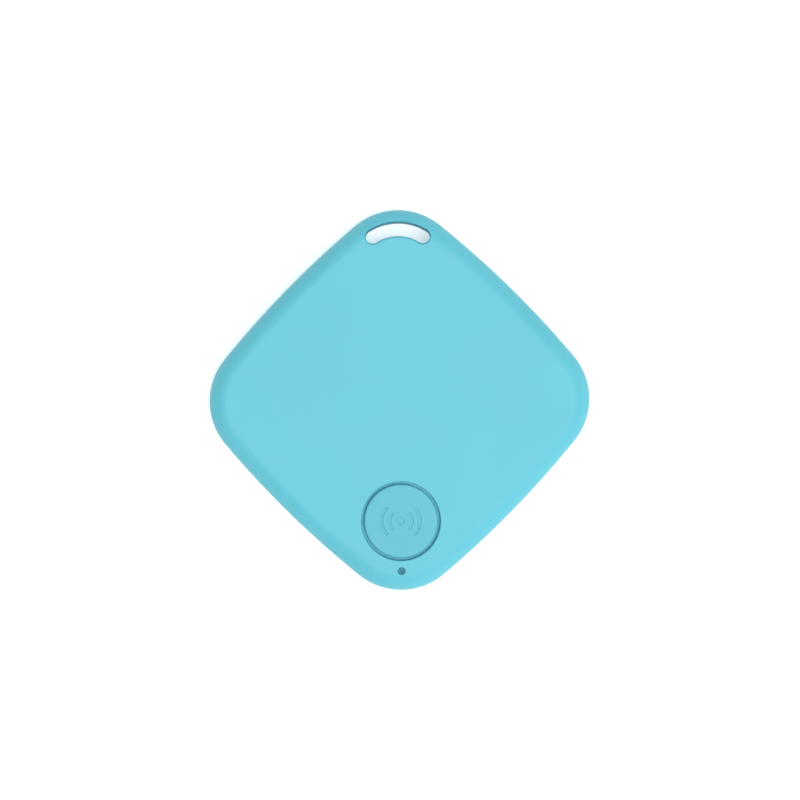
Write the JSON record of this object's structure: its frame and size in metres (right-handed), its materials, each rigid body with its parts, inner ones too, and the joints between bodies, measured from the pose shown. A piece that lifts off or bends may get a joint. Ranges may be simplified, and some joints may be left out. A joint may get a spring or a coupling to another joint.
{
  "type": "bluetooth tracker tag",
  "caption": "Square key-finder tag with rounded corners, a curved key-ring slot at one corner and a round press button at the opposite corner.",
  "frame": {"origin": "centre of the flat back face, where the tag rests on a table", "axes": "+X to the right, +Y towards the key-ring slot's corner, +Z out of the front face"},
  "size_m": [0.0456, 0.0456, 0.0075],
  "materials": {
    "case_plastic": "satin moulded ABS, turquoise",
    "clear_plastic": "clear moulded light pipe",
    "adhesive_tape": "double-sided adhesive tape",
    "brass_sheet": "rolled brass sheet",
    "silvered_ceramic": "silver-coated ceramic disc",
    "foam": "closed-cell foam",
    "switch_plastic": "natural nylon",
    "cell_steel": "nickel-plated steel",
    "gasket_plastic": "nylon sealing ring",
    "cell_filling": null,
    "board_green": "glass-epoxy board under green solder mask",
    "screw_steel": "nickel-plated steel",
    "black_plastic": "black moulded plastic",
    "contact_metal": "gold-flashed spring bronze",
    "spring_steel": "stainless spring steel",
    "tinned_metal": "tinned metal",
    "chip_black": "moulded epoxy",
    "copper": "gold-flashed copper",
    "led_body": "lamp resin",
    "ferrite": "ferrite core",
    "capacitor_tan": "ceramic body with tinned ends",
    "resistor_black": "glass-coated film with tinned ends"
  },
  "bodies": {
    "base": {"rear_cover": "case_plastic", "circuit_board": "board_green", "board_screws": "screw_steel", "cell_cradle": "black_plastic", "positive_contact": "contact_metal", "negative_contact": "contact_metal", "piezo_springs": "contact_metal", "switch_base": "black_plastic", "switch_dome": "spring_steel", "switch_frame": "spring_steel", "switch_terminals": "tinned_metal", "radio_chip": "chip_black", "crystal": "tinned_metal", "antenna_trace": "copper", "status_led": "led_body", "boost_inductor": "ferrite", "driver_transistor": "chip_black", "bulk_capacitor": "capacitor_tan", "capacitors": "capacitor_tan", "resistors": "resistor_black"},
    "cover": {"front_cover": "case_plastic", "light_pipe": "clear_plastic", "piezo_tape": "adhesive_tape", "piezo_plate": "brass_sheet", "piezo_ceramic": "silvered_ceramic", "cell_pad": "foam"},
    "button": {"button_cap": "case_plastic"},
    "plunger": {"switch_plunger": "switch_plastic"},
    "cell": {"cell_can": "cell_steel", "cell_gasket": "gasket_plastic", "cell_cap": "cell_steel", "cell_core": "cell_filling"}
  },
  "joints": [
    {"name": "cover_lift", "type": "slide", "parent": "base", "child": "cover", "axis": [0, 0, 1], "range_m": [0, 0.016]},
    {"name": "cell_lift", "type": "slide", "parent": "base", "child": "cell", "axis": [0, 0, 1], "range_m": [0, 0.008]},
    {"name": "button_press", "type": "slide", "parent": "cover", "child": "button", "axis": [0, 0, -1], "range_m": [0, 0.0003], "stiffness_N_per_m": 4000, "springref_m": -0.0002},
    {"name": "plunger_travel", "type": "slide", "parent": "base", "child": "plunger", "axis": [0, 0, -1], "range_m": [0, 0.0003], "deforming": ["switch_dome"]}
  ],
  "couplings": [
    {"joint": "cell_lift", "follows": "cover_lift", "ratio": 0.5},
    {"joint": "plunger_travel", "follows": "button_press", "ratio": 1}
  ]
}
